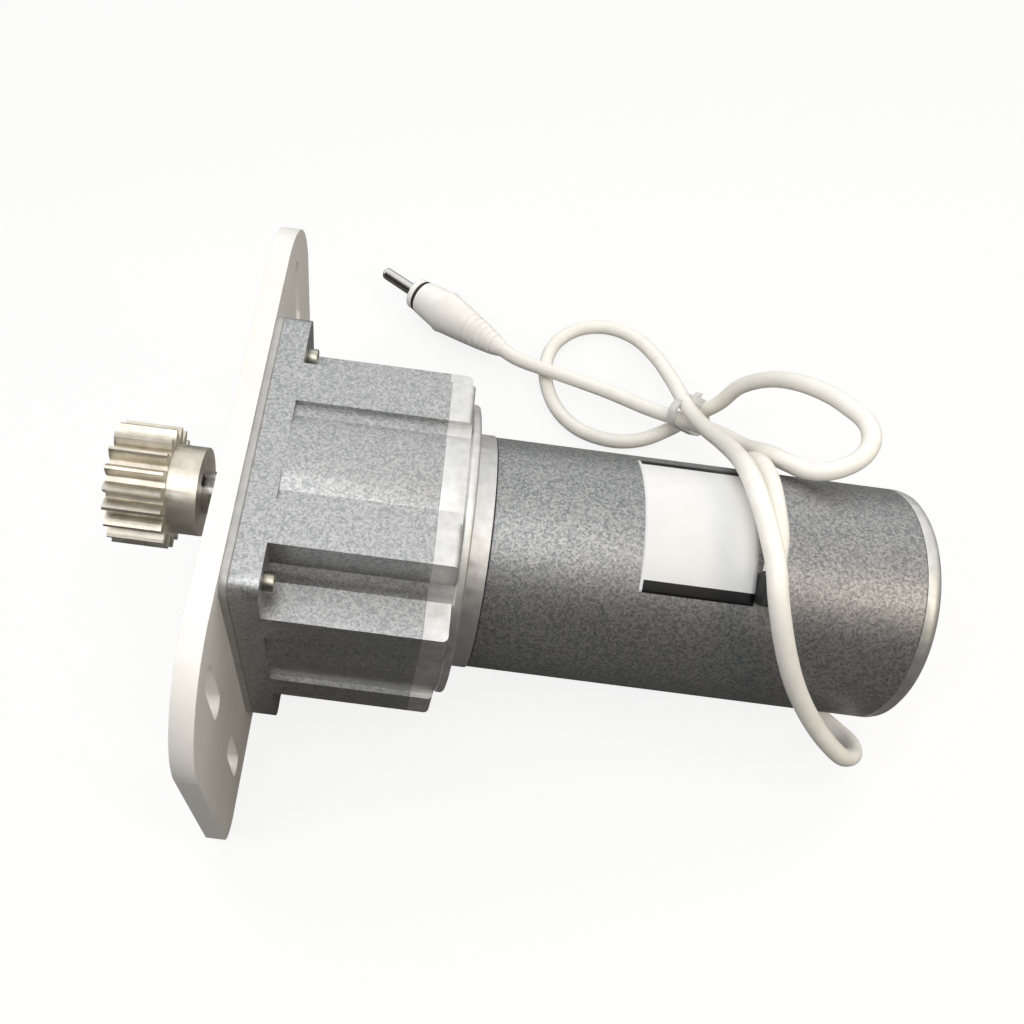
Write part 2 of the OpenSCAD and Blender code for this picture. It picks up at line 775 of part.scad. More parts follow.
// Open ring between two radii
module circlip(r0, r1, x) {
    color("#8a8a8c") at_x(x, output_axis) rotate([0, 0, (360 - clip_arc) / 2])
        rotate_extrude(angle = clip_arc) polygon([[r0, 0], [r1, 0], [r1, clip_thick], [r0, clip_thick]]);
}

module bearing_circlip() {
    r = front_bearing_radius;
    circlip(r - clip_grip, r + clip_grip - clip_room, x_clip + clip_room);
}

module output_seal() {
    r = output_shaft_radius + run;
    x0 = x_front_bearing - seal_width;
    x1 = x0 + seal_skin;
    rim = seal_radius - seal_lip * 2;
    color("#2a2a2c") spun([[r, x0], [seal_radius - shield_depth, x0], [seal_radius, x0 + shield_depth],
        [seal_radius, x_front_bearing], [rim, x_front_bearing], [rim, x1], [r + seal_lip, x1],
        [r + seal_lip, x1 + seal_lip], [r, x1 + seal_lip]], output_axis);
}

module shaft_bush(x0, c) {
    pipe(bush_radius, gear_shaft_radius + run, x0, x0 + bush_length, c);
}

module first_shaft_bushes() {
    color("#b08d57") {
        shaft_bush(x_front_bush, first_axis);
        shaft_bush(x_adapter + hole_room, first_axis);
    }
}

module second_shaft_bushes() {
    color("#b08d57") {
        shaft_bush(x_front_bush, second_axis);
        shaft_bush(x_partition, second_axis);
    }
}

module cord_grommet() {
    r0 = tube_radius + fit;
    r1 = tube_radius + hood_height;
    h = hood_half;
    e = hood_chamfer;
    color("#1c1c1e") {
        at_x(x_grommet, motor_axis) rotate([0, 0, hood_start]) rotate_extrude(angle = hood_arc)
            polygon([[r0, -h], [r1 - e, -h], [r1, e - h], [r1, h - e], [r1 - e, h], [r0, h]]);
        at_grommet() translate([0, 0, tube_bore + stem_inset])
            cylinder(r = stem_radius, h = tube_wall + stem_reach);
    }
}

// Tube of flat sides along a line of points, its rings carried along without twist
module tube_along(line, r, sides) {
    n = len(line);
    first = line_way(line, 0);
    start = square_to(abs(first[2]) < 0.9 ? [0, 0, 1] : [1, 0, 0], first);
    across = [for (i = 0, v = start; i < n;
        i = i + 1, v = square_to(v, line_way(line, min(i, n - 1)))) v];
    points = [for (i = [0 : n - 1], k = [0 : sides - 1])
        let (w = line_way(line, i), u = across[i], v = cross(w, u), a = 360 * k / sides)
        line[i] + r * (cos(a) * u + sin(a) * v)];
    walls = [for (i = [0 : n - 2], k = [0 : sides - 1])
        let (j = (k + 1) % sides)
        each [[i * sides + k, (i + 1) * sides + k, (i + 1) * sides + j],
            [i * sides + k, (i + 1) * sides + j, i * sides + j]]];
    ends = [[for (k = [0 : sides - 1]) k], [for (k = [sides - 1 : -1 : 0]) (n - 1) * sides + k]];
    polyhedron(points, concat(walls, ends), convexity = 10);
}

module power_cord() {
    color("#e8e6de") tube_along(cord_line(cord_route, rings_per_leg), cord_radius, cord_sides);
}

// Round-ended bar for the band of the tie
module band_bar(r, h) {
    for (s = [-1, 1]) translate([s * tie_half, 0, -h / 2]) cylinder(r = r, h = h);
    translate([-tie_half, -r, -h / 2]) cube([2 * tie_half, 2 * r, h]);
}

module cable_tie() {
    n = unit(tie_way);
    u = square_to(tie_long, n);
    v = cross(n, u);
    o = off_tube(tie_middle);
    m = [[u[0], v[0], n[0], o[0]], [u[1], v[1], n[1], o[1]], [u[2], v[2], n[2], o[2]], [0, 0, 0, 1]];
    top = tie_radius + tie_thick - tie_sink;
    color("#e4e6e4") multmatrix(m) {
        difference() {
            band_bar(tie_radius + tie_thick, tie_width);
            band_bar(tie_radius, tie_width + 1);
        }
        translate([-tie_head[0] / 2, top, -tie_head[2] / 2]) cube(tie_head);
        translate([-tie_tail[0] / 2, top + tie_head[1] - tie_sink, -tie_tail[2] / 2]) cube(tie_tail);
    }
}

// Lay children along the plug's axis from the tip of its pin
module at_plug() {
    w = unit(plug_way);
    translate(plug_tip + plug_shift) rotate([0, acos(w[2]), atan2(w[1], w[0])]) children();
}

module plug_body() {
    r = plug_body_radius;
    color("#eceae2") at_plug() rotate_extrude() polygon([[pin_core + fit, o_ring_end],
        [r - plug_edge, o_ring_end], [r, o_ring_end + plug_edge], [plug_body_flare, plug_body_end],
        [pin_core + fit, plug_body_end]]);
}

// Radius of the boot's cone at a distance behind its rim
function boot_at(s) = boot_tail
    + (boot_cone - boot_tail) * pow(max(0, 1 - s / (boot_length - boot_rim)), boot_taper);

module plug_boot() {
    e = plug_body_end;
    r = boot_radius;
    x = e + boot_rim;
    ribs = [for (k = [0 : boot_ribs - 1]) let (s = rib_start + rib_pitch * k)
        let (t = s + groove_width)
        each [[boot_at(s), x + s], [boot_at(s) - groove_depth, x + s + groove_slope],
            [boot_at(s) - groove_depth, x + t - groove_slope], [boot_at(t), x + t]]];
    color("#eceae2") at_plug() rotate_extrude() polygon(concat(
        [[0, e], [r - plug_edge / 2, e], [r, e + plug_edge], [r, x - plug_edge], [boot_cone, x]],
        [[boot_at(rib_start / 3), x + rib_start / 3], [boot_at(rib_start * 2 / 3), x + rib_start * 2 / 3]],
        ribs, [[boot_tail, boot_end - plug_edge], [boot_tail - plug_edge / 2, boot_end], [0, boot_end]]));
}

module plug_collar() {
    r = collar_radius;
    color("#eceae2") at_plug() rotate_extrude() polygon([[pin_core + fit, pin_length],
        [r - plug_edge, pin_length], [r, pin_length + plug_edge], [r, collar_end],
        [pin_core + fit, collar_end]]);
}

module plug_o_ring() {
    r = o_ring_radius;
    color("#1c1c1e") at_plug() rotate_extrude() polygon([[pin_core + fit, collar_end],
        [r - plug_edge, collar_end], [r, collar_end + plug_edge], [r, o_ring_end - plug_edge],
        [r - plug_edge, o_ring_end], [pin_core + fit, o_ring_end]]);
}

module plug_pin() {
    r = pin_radius;
    neck = pin_length - pin_neck;
    tip = [for (a = [0 : 30 : 90]) [r - pin_round * (1 - sin(a)), pin_round * (1 - cos(a))]];
    color("#a8a49c") at_plug() rotate_extrude() polygon(concat([[0, 0]], tip,
        [[r, neck], [pin_core, neck], [pin_core, plug_body_end], [0, plug_body_end]]));
}

module armature_shaft() {
    x0 = x_first_gear - stage_gap / 2;
    x1 = x_bell - tail_floor - gear_shaft_room;
    x_seat = x_first_end + stage_gap / 2;
    x_step = x_round + motor_bearing_width + boss_room;
    x_tail = x_tail_bearing - tail_boss_room / 2;
    rp = pinion_seat_radius;
    rm = motor_shaft_radius;
    rc = core_shaft_radius;
    e = gear_shaft_room;
    color("#b4b4b6") spun([[0, x0], [rp - e, x0], [rp, x0 + e], [rp, x_seat], [rm, x_seat],
        [rm, x_step], [rc, x_step], [rc, x_tail], [rm, x_tail], [rm, x1 - e], [rm - e, x1], [0, x1]],
        motor_axis);
}

// Pinion of one stage with its bore, a little wider than the wheel it turns
module stage_pinion(m, x0, x1, bore, c) {
    a = x0 - pinion_overhang;
    b = x1 + pinion_overhang;
    color("#a8a8aa") difference() {
        gear(stage_pinion_teeth, m, 0, a, b, c, 4);
        rod(bore + fit, a - eps, b + eps, c);
    }
}

// Wheel of one stage with its hub and bore
module stage_wheel(m, turn, x0, x1, c) {
    a = x0 - wheel_hub_front;
    b = x1 + wheel_hub_back;
    color("#8f8f92") difference() {
        union() {
            gear(wheel_teeth, m, turn, x0, x1, c, 2);
            rod(wheel_hub_radius, a, b, c);
        }
        rod(gear_shaft_radius + fit, a - eps, b + eps, c);
    }
}

module armature_pinion() {
    stage_pinion(first_module, x_first_gear, x_first_end, pinion_seat_radius, motor_axis);
}

// Place of a core slot, and its angle
function core_slot_angle(k) = 360 * k / core_slots;
function core_slot_point(k) =
    motor_axis + core_slot_reach * [cos(core_slot_angle(k)), sin(core_slot_angle(k))];

module armature_core() {
    x0 = x_core - eps;
    x1 = x_core_end + eps;
    color("#5c5c60") difference() {
        rod(core_radius, x_core, x_core_end, motor_axis);
        rod(core_shaft_radius + fit, x0, x1, motor_axis);
        for (k = [0 : core_slots - 1]) {
            rod(core_slot_radius, x0, x1, core_slot_point(k));
            at_x(x0, motor_axis) rotate([0, 0, core_slot_angle(k)])
                translate([core_slot_reach, -core_slot_mouth / 2, 0])
                cube([core_slot_depth + 1, core_slot_mouth, x1 - x0]);
        }
    }
}

module armature_windings() {
    inner = core_shaft_radius + winding_room;
    outer = core_radius - winding_inset;
    t = winding_taper;
    color("#a8642c") {
        for (k = [0 : core_slots - 1])
            rod(core_slot_radius - fit, x_core - 1, x_core_end + 1, core_slot_point(k));
        for (e = [[x_core, -1], [x_core_end, 1]]) {
            x0 = e[0];
            x1 = e[0] + e[1] * winding_reach;
            xm = x1 - e[1] * t;
            spun([[inner, x0], [inner, xm], [inner + t, x1], [outer - t, x1], [outer, xm], [outer, x0]],
                motor_axis);
        }
    }
}

module commutator() {
    x0 = x_commutator;
    x1 = x0 + commutator_length;
    color("#b87333") difference() {
        rod(commutator_radius, x0, x1, motor_axis);
        rod(core_shaft_radius + fit, x0 - eps, x1 + eps, motor_axis);
        for (k = [0 : commutator_bars - 1])
            at_x(x0 - eps, motor_axis) rotate([0, 0, 360 * k / commutator_bars])
            translate([commutator_radius - bar_gap_depth, -bar_gap / 2, 0])
            cube([2 * bar_gap_depth, bar_gap, commutator_length + 2 * eps]);
    }
}

module first_gear() {
    stage_wheel(first_module, first_turn, x_first_gear, x_first_end, first_axis);
}

module first_shaft() {
    color("#b4b4b6") rod(gear_shaft_radius, x_front_bush + gear_shaft_room,
        x_adapter + hole_room + bush_length - gear_shaft_room, first_axis);
}

module second_pinion() {
    stage_pinion(second_module, x_second_gear, x_second_end, gear_shaft_radius, first_axis);
}

module second_gear() {
    stage_wheel(second_module, second_turn, x_second_gear, x_second_end, second_axis);
}

module second_shaft() {
    color("#b4b4b6") rod(gear_shaft_radius, x_front_bush + gear_shaft_room,
        x_partition + bush_length - gear_shaft_room, second_axis);
}

module third_pinion() {
    stage_pinion(third_module, x_output_gear, x_output_end, gear_shaft_radius, second_axis);
}

// Keyway box along the top of the output shaft
module keyway(x0, x1, z0, z1, room) {
    box([x0, -key_width / 2 - room, z0], [x1, key_width / 2 + room, z1]);
}

module output_shaft() {
    x0 = x_pinion_front + 1;
    x1 = x_rear_bearing + rear_bearing_width - 2 * shoulder_gap;
    x_shoulder = x_front_bearing + front_bearing_width + shoulder_gap;
    x_groove = x_output_end + shoulder_gap;
    x_groove_end = x_groove + clip_thick + 2 * clip_room;
    x_step = x_rear_bearing - shoulder_gap;
    r = output_shaft_radius;
    rs = output_shoulder_radius;
    rn = output_neck_radius;
    rt = output_tail_radius;
    e = shaft_chamfer;
    color("#a8a49c") difference() {
        spun([[0, x0], [r - e, x0], [r, x0 + e], [r, x_shoulder], [rs, x_shoulder],
            [rs, x_output_gear], [r, x_output_gear], [r, x_groove], [rn, x_groove], [rn, x_groove_end],
            [r, x_groove_end], [r, x_groove_end + e], [rn, x_groove_end + e], [rn, x_step], [rt, x_step],
            [rt, x1 - e], [rt - e, x1], [0, x1]], output_axis);
        keyway(x_pinion_front + key_inset, x_pinion_hub_end - key_inset / 2, key_floor, key_top + 1, fit);
        keyway(x_output_gear + key_inset / 2, x_output_end - key_inset / 2, key_floor, key_top + 1, fit);
    }
}

module output_gear() {
    x0 = x_output_gear + fit;
    color("#8f8f92") difference() {
        gear(output_teeth, third_module, output_turn, x0, x_output_end, output_axis, 2);
        rod(output_shaft_radius + fit, x0 - eps, x_output_end + eps, output_axis);
        keyway(x0 - eps, x_output_end + eps, 0, key_top + fit, fit);
    }
}

module gear_key() {
    color("#8a8a8c") keyway(x_output_gear + key_inset / 2 + eps, x_output_end - key_inset / 2 - eps,
        key_floor + fit, key_top, 0);
}

module gear_circlip() {
    circlip(output_neck_radius + fit, output_neck_radius + 2 * clip_grip,
        x_output_end + shoulder_gap + clip_room);
}

// Hole for the set screw, or the screw's own bar, outward along Y
module set_screw_bar(r, start, length) {
    translate([x_set_screw, start, 0]) rotate([-90, 0, 0]) cylinder(r = r, h = length);
}

module drive_pinion() {
    x0 = x_pinion_front - eps;
    x1 = x_pinion_hub_end + eps;
    color("#a89f90") difference() {
        union() {
            gear(pinion_teeth, pinion_module, 90, x_pinion_front, x_pinion_hub + eps, output_axis, 4,
                pinion_backlash);
            rod(pinion_hub_radius, x_pinion_hub, x_pinion_hub_end, output_axis);
        }
        rod(output_shaft_radius + fit, x0, x1, output_axis);
        keyway(x0, x1, 0, key_top + fit, fit);
        set_screw_bar(set_screw_radius + fit, 0, pinion_hub_radius + 1);
    }
}

module pinion_key() {
    color("#8a8a8c") keyway(x_pinion_front + key_inset + eps, x_pinion_hub_end - key_inset / 2 - eps,
        key_floor + fit, key_top, 0);
}

module pinion_set_screw() {
    start = output_shaft_radius + fit;
    socket = start + set_screw_length - set_screw_socket_depth;
    color("#3c3c40") difference() {
        set_screw_bar(set_screw_radius, start, set_screw_length);
        translate([x_set_screw, socket, 0]) rotate([-90, 0, 0]) linear_extrude(set_screw_socket_depth + 1)
            polygon([for (k = [0 : 5]) set_screw_socket * [cos(60 * k), sin(60 * k)]]);
    }
}

mounting_plate();
plate_screws();
case_cover();
case_gasket();
gear_case();
case_screws();
motor_adapter();
adapter_screws();
front_motor_bearing();
motor_tube();
rating_label();
field_magnets();
rear_bell();
through_bolts();
rear_motor_bearing();
brush_holder();
brushes();
brush_springs();
output_bearing_front();
output_bearing_rear();
bearing_circlip();
output_seal();
first_shaft_bushes();
second_shaft_bushes();
cord_grommet();
power_cord();
cable_tie();
plug_body();
plug_boot();
plug_collar();
plug_o_ring();
plug_pin();
armature_shaft();
armature_pinion();
armature_core();
armature_windings();
commutator();
first_gear();
first_shaft();
second_pinion();
second_gear();
second_shaft();
third_pinion();
output_shaft();
output_gear();
gear_key();
gear_circlip();
drive_pinion();
pinion_key();
pinion_set_screw();
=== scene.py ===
"""Looks of a gearmotor on a slotted plate, with a looped cord and plug.

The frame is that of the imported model: X along the shafts from the drive pinion to the rear of
the motor, Y along the plate, Z across it. Sizes of the object are named in millimetres and go
into Blender in metres.
"""

import math

import bpy
import numpy as np
from mathutils import Matrix, Vector


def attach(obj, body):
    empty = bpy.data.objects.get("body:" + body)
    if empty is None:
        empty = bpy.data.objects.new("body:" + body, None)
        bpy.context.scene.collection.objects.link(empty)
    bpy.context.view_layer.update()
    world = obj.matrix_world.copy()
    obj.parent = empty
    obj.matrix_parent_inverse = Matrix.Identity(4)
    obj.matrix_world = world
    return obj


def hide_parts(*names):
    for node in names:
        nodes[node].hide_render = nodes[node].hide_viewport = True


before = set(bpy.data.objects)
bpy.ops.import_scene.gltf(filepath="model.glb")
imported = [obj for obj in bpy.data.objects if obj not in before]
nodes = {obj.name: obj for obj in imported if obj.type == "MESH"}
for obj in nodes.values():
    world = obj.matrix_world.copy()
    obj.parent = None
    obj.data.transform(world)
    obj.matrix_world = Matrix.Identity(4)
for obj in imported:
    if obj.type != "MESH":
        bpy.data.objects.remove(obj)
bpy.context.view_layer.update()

MM = 0.001

# Motor tube. The bore's join is where its closed profile starts and ends, from the front end
MOTOR_Y = -10.0
TUBE_START = 88.3
TUBE_END = 231.8
TUBE_RADIUS = 42.0
TUBE_BORE = 38.0
TUBE_SEAM = 0.35
TUBE_EDGE = 0.5
TUBE_SIDES = 192
BORE_JOIN = (40.0, 41.0)

# Label on the tube: start and length along X, angles from +Y towards +Z, and its bars as shares
# of the way from the first angle to the last
LABEL_X = 138.0
LABEL_LENGTH = 37.6
LABEL_ANGLES = (51.0, 127.0)
LABEL_LIFT = 0.12
LABEL_THICKNESS = 0.1
LABEL_MARGIN = 1.0
TOP_BAR_END = 0.06
FOOT_BAR_START = 0.925

# Cord, from inside the plug's boot to the grommet
CORD_DIAMETER = 6.5
CORD_STEPS = 8
CORD_SIDES = 20
CORD_ROUTE = [
    (91, 138, -57), (97, 133, -56), (105, 127, -54.5), (118, 121, -52), (133, 114.5, -49),
    (148, 107.5, -46), (165, 97.5, -41.5), (181, 88, -35), (188, 71, -18), (191, 53.5, -1),
    (190, 35.5, 21), (192, 24, 32.5), (197.5, 18, 37.5), (204.5, 17, 41.5), (212, 21, 44.5),
    (216, 28, 45.5), (216.5, 37.5, 43.5), (213, 46, 40), (209, 56, 34), (203.5, 67.5, 24.5),
    (198, 79, 11), (193, 88, -6.5), (190.5, 92, -24), (185, 95, -38), (176, 92, -46.5),
    (164, 87, -51), (151, 86, -53.5), (137, 91, -56), (127, 101, -58), (121, 114, -59),
    (119, 128, -59), (122, 141, -58.5), (130, 150, -57), (140, 154, -55.5), (151, 153, -53.5),
    (162, 145, -50), (170, 129, -44), (174.5, 110, -36), (178, 89, -27), (178, 66, -8.5),
    (176.5, 44, 13), (173.5, 23.5, 33.5), (172, 8, 46), (173, -5, 50.5), (174.5, -17, 52),
    (176.5, -29, 51), (178.5, -39, 46.5), (183.5, -47.5, 37), (190, -53.5, 26), (197.5, -57.5, 15),
    (206, -61, 4.5), (215, -64, -5), (224.5, -65.5, -14), (232.5, -61.5, -22), (236.5, -54, -30.5),
    (235, -47.5, -36.5), (229, -40, -40), (220, -32, -41.5), (208, -25, -43.5), (197.5, -16.5, -45.5),
    (191, -5, -46.5), (187, 7, -47), (185, 20, -45.5), (186, 32, -38), (187, 39, -25),
    (188, 40, -10), (187, 37, 4), (184, 32, 19.5), (181.5, 21, 34), (180.5, 8.5, 42.5),
    (180.5, -5, 45.5), (180.5, -17, 45.5), (179, -27.5, 42.8),
]

# Small edge radii of the machined, cast and moulded pieces
EDGE_MM = {
    "mounting_plate": 0.9, "case_cover": 0.25, "gear_case": 0.9, "motor_adapter": 1.0,
    "rear_bell": 0.3, "drive_pinion": 0.45, "case_screws": 0.4, "output_shaft": 0.3,
    "plate_screws": 0.15, "pinion_set_screw": 0.2, "through_bolts": 0.3, "plug_body": 0.3,
    "plug_boot": 0.3, "plug_collar": 0.4, "cable_tie": 0.3, "cord_grommet": 0.4,
}
EDGE_STEPS = 3
EDGE_FROM_DEGREES = 32
FLAT_WITHIN_DEGREES = 0.5
WELD_MM = 0.001

# Camera, in millimetres and degrees
CAMERA_PLACE = (58.36, -179.30, 311.53)
CAMERA_AZIMUTH = -1.489
CAMERA_ELEVATION = 62.461
CAMERA_ROLL = -8.717
CAMERA_LENS = 34.026
CAMERA_SENSOR = 36.0
CAMERA_SHIFT = (0.1028, 0.0461)

# Where the object lies: the table meets the plate's lower edge and the rear bell's rim
TABLE_X = 7.5
TABLE_Z = -83.0
TABLE_SLOPE = 0.1794

# Floor: its middle, the gap under the object, half its side in metres, how much of what the eye
# sees of it is plain white, how much of it shows in metal, and its tones to the eye, to the light
# that it throws back and in metal
FLOOR_X = 120.0
FLOOR_GAP = 0.2
FLOOR_HALF_SIDE = 9.0
FLOOR_WHITE = 0.85
FLOOR_IN_METAL = 0.05
FLOOR_SEEN = "#e9e9e7"
FLOOR_UNSEEN = "#8a8a88"
FLOOR_MIRRORED = "#2c2c2e"

# Room: light of the white wall, light of the dim side, and where one turns into the other along
# the Y part of a direction
ROOM_WALL = 1.2
ROOM_DARK = 0.025
ROOM_EDGE = (-0.15, 0.4)

# How far to each side of its middle noise counts when it mixes two shades
SHADE_SPREAD = 0.2


# Mesh helpers

def grid_faces(rows, columns, wrap_rows=False, wrap_columns=False):
    """Quads between neighbouring points of a grid, with its last row or column joined to the first."""
    r = np.arange(rows if wrap_rows else rows - 1)
    c = np.arange(columns if wrap_columns else columns - 1)
    i, j = np.meshgrid(r, c, indexing="ij")
    up, on = (i + 1) % rows, (j + 1) % columns
    corners = [i * columns + j, up * columns + j, up * columns + on, i * columns + on]
    return np.stack(corners, axis=-1).reshape(-1, 4)


def make_piece(name, points, faces, material):
    """A smooth mesh piece at the origin, from points in millimetres, that rides on the frame."""
    mesh = bpy.data.meshes.new(name)
    mesh.from_pydata((points.reshape(-1, 3) * MM).tolist(), [], faces)
    mesh.polygons.foreach_set("use_smooth", np.full(len(mesh.polygons), True))
    mesh.materials.append(material)
    mesh.update()
    piece = bpy.data.objects.new(name, mesh)
    bpy.context.scene.collection.objects.link(piece)
    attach(piece, "frame")
    return piece


def unit(v):
    """A vector divided by its length."""
    v = np.asarray(v, float)
    return v / np.linalg.norm(v)


def rounded(profile, radius, steps=5):
    """A profile whose inner corners are cut back by the radius and bent along a quadratic curve."""
    p = np.asarray(profile, float)
    a, b, c = p[:-2], p[1:-1], p[2:]
    reach_a = np.linalg.norm(a - b, axis=1, keepdims=True)
    reach_c = np.linalg.norm(c - b, axis=1, keepdims=True)
    cut = np.minimum(radius, 0.45 * np.minimum(reach_a, reach_c))
    start = b + (a - b) / reach_a * cut
    end = b + (c - b) / reach_c * cut
    t = np.linspace(0, 1, steps)[None, :, None]
    bend = (1 - t) ** 2 * start[:, None] + 2 * t * (1 - t) * b[:, None] + t ** 2 * end[:, None]
    return np.vstack([p[:1], bend.reshape(-1, 2), p[-1:]])


def lathe(name, profile, origin, way, material, sides):
    """A turned piece: a closed profile of (place, radius) goes once round the axis from the origin
    along a way that isn't upright, and its last point joins its first."""
    w = unit(way)
    u = unit(np.cross(w, (0, 0, 1)))
    v = np.cross(w, u)
    a = np.linspace(0, 2 * math.pi, sides, endpoint=False)[:, None]
    ring = np.cos(a) * u + np.sin(a) * v
    points = np.asarray(origin, float) + profile[:, None, :1] * w + profile[:, None, 1:] * ring
    return make_piece(name, points, grid_faces(len(profile), sides, True, True).tolist(), material)


def smooth_line(points, steps):
    """Catmull-Rom curve through the points: each leg is a cubic of its two ends and neighbours."""
    p = np.asarray(points, float)
    a = np.vstack([p[:1], p[:-2]])
    b, c = p[:-1], p[1:]
    d = np.vstack([p[2:], p[-1:]])
    t = (np.arange(steps) / steps)[None, :, None]
    a, b, c, d = (q[:, None] for q in (a, b, c, d))
    line = 0.5 * (2 * b + (c - a) * t + (2 * a - 5 * b + 4 * c - d) * t ** 2
                  + (3 * b - a - 3 * c + d) * t ** 3)
    return np.vstack([line.reshape(-1, 3), p[-1:]])


def carried(line):
    """Two directions across a line at each of its points, carried along it without twist: each is
    the one before it with its part along the line taken out."""
    ways = np.gradient(line, axis=0)
    ways /= np.linalg.norm(ways, axis=1, keepdims=True)
    across = np.zeros_like(ways)
    v = np.cross(ways[0], (0, 0, 1))
    for i, w in enumerate(ways):
        v = unit(v - (v @ w) * w)
        across[i] = v
    return across, np.cross(ways, across)


def tube(name, line, radius, material, sides):
    """A round tube: a circle of the radius at each point of the line, closed with flat ends."""
    u, v = carried(line)
    a = np.linspace(0, 2 * math.pi, sides, endpoint=False)[None, :, None]
    points = line[:, None] + radius * (np.cos(a) * u[:, None] + np.sin(a) * v[:, None])
    faces = grid_faces(len(line), sides, False, True)[:, ::-1].tolist()
    last = (len(line) - 1) * sides
    faces.append(list(range(sides)))
    faces.append(list(range(last + sides - 1, last - 1, -1)))
    return make_piece(name, points, faces, material)


# Material helpers

def linear(code):
    """Linear colour of an sRGB hex code."""
    s = np.array([int(code[i:i + 2], 16) for i in (1, 3, 5)]) / 255
    return (*np.where(s <= 0.04045, s / 12.92, ((s + 0.055) / 1.055) ** 2.4), 1.0)


def add(tree, kind, settings=None, inputs=None):
    """One node with its settings, and its inputs set to values or linked to sockets."""
    made = tree.nodes.new(kind)
    for key, value in (settings or {}).items():
        setattr(made, key, value)
    for key, value in (inputs or {}).items():
        if isinstance(value, bpy.types.NodeSocket):
            tree.links.new(value, made.inputs[key])
        else:
            made.inputs[key].default_value = value
    return made


def start_material(name, **sockets):
    """A material with a principled shader, its constants set on the shader's own sockets."""
    material = bpy.data.materials.new(name)
    material.use_nodes = True
    tree = material.node_tree
    shader = tree.nodes["Principled BSDF"]
    for key, value in sockets.items():
        shader.inputs[key.replace("_", " ")].default_value = value
    place = add(tree, "ShaderNodeTexCoord").outputs["Object"]
    return material, tree, shader, place


def mottled(tree, place, size_mm, low, high, detail):
    """Colour that goes from low to high over noise whose patches have the given size."""
    noise = add(tree, "ShaderNodeTexNoise", None,
                {"Vector": place, "Scale": 1 / (size_mm * MM), "Detail": detail})
    share = add(tree, "ShaderNodeMapRange", None,
                {"Value": noise.outputs["Fac"],
                 "From Min": 0.5 - SHADE_SPREAD, "From Max": 0.5 + SHADE_SPREAD})
    mix = add(tree, "ShaderNodeMix", {"data_type": "RGBA"},
              {0: share.outputs[0], 6: linear(low), 7: linear(high)})
    return mix.outputs[2]


def grained(tree, shader, place, size_mm, detail, strength, depth_mm):
    """Fine relief of a skin, from noise whose grain has the given size. Gives back the noise."""
    noise = add(tree, "ShaderNodeTexNoise", None,
                {"Vector": place, "Scale": 1 / (size_mm * MM), "Detail": detail})
    bump = add(tree, "ShaderNodeBump", None,
               {"Height": noise.outputs["Fac"], "Strength": strength, "Distance": depth_mm * MM})
    tree.links.new(bump.outputs["Normal"], shader.inputs["Normal"])
    return noise.outputs["Fac"]


# Materials

def speckled_enamel(name, low, high, metallic, roughness):
    """Grey enamel with metal flakes: dark where it mirrors the room, a soft sheen under the wall,
    and flakes of 0.65 mm, each of its own shade, under a slightly rough skin. Real flakes are finer
    and are drawn as coarse as they need to show."""
    material, tree, shader, place = start_material(name, Roughness=roughness, Metallic=metallic)
    flakes = add(tree, "ShaderNodeTexVoronoi", None, {"Vector": place, "Scale": 1 / (0.65 * MM)})
    shade = add(tree, "ShaderNodeSeparateColor", None, {"Color": flakes.outputs["Color"]})
    mix = add(tree, "ShaderNodeMix", {"data_type": "RGBA"},
              {0: shade.outputs["Red"], 6: linear(low), 7: linear(high)})
    tree.links.new(mix.outputs[2], shader.inputs["Base Color"])
    grained(tree, shader, place, 0.8, 1.0, strength=0.1, depth_mm=0.08)
    return material


def cream_enamel():
    """Smooth cream enamel on plate steel: faint orange peel and slight yellowing."""
    material, tree, shader, place = start_material("cream_enamel_on_steel", Roughness=0.42)
    colour = mottled(tree, place, 30, "#e0ded8", "#e9e7e1", 3.0)
    tree.links.new(colour, shader.inputs["Base Color"])
    grained(tree, shader, place, 1.2, 1.0, strength=0.12, depth_mm=0.12)
    return material


def bare_aluminium():
    """Bare die-cast aluminium, skimmed: pale, soft shine, faint cloudy patches."""
    material, tree, shader, place = start_material("bare_cast_aluminium", Metallic=1.0)
    colour = mottled(tree, place, 4, "#c8c8c5", "#dcdcd9", 4.0)
    tree.links.new(colour, shader.inputs["Base Color"])
    grain = grained(tree, shader, place, 0.9, 3.0, strength=0.15, depth_mm=0.15)
    rough = add(tree, "ShaderNodeMapRange", None, {"Value": grain, "To Min": 0.48, "To Max": 0.6})
    tree.links.new(rough.outputs[0], shader.inputs["Roughness"])
    return material


def turned_steel(name, low, high, rough_low, rough_high):
    """Machined steel: fine tool marks across the X axis and slight stains."""
    material, tree, shader, place = start_material(name, Metallic=1.0)
    colour = mottled(tree, place, 5, low, high, 4.0)
    tree.links.new(colour, shader.inputs["Base Color"])
    squeeze = add(tree, "ShaderNodeMapping", None, {"Vector": place, "Scale": (1.0, 0.06, 0.06)})
    marks = grained(tree, shader, squeeze.outputs[0], 0.7, 3.0, strength=0.2, depth_mm=0.1)
    rough = add(tree, "ShaderNodeMapRange", None,
                {"Value": marks, "To Min": rough_low, "To Max": rough_high})
    tree.links.new(rough.outputs[0], shader.inputs["Roughness"])
    return material


def moulded(name, low, high, roughness, grain_mm=0.8, metallic=0.0):
    """Moulded or pressed material: two close shades and a fine skin."""
    material, tree, shader, place = start_material(name, Roughness=roughness, Metallic=metallic)
    colour = mottled(tree, place, 6, low, high, 3.0)
    tree.links.new(colour, shader.inputs["Base Color"])
    grained(tree, shader, place, grain_mm, 2.0, strength=0.1, depth_mm=0.08)
    return material


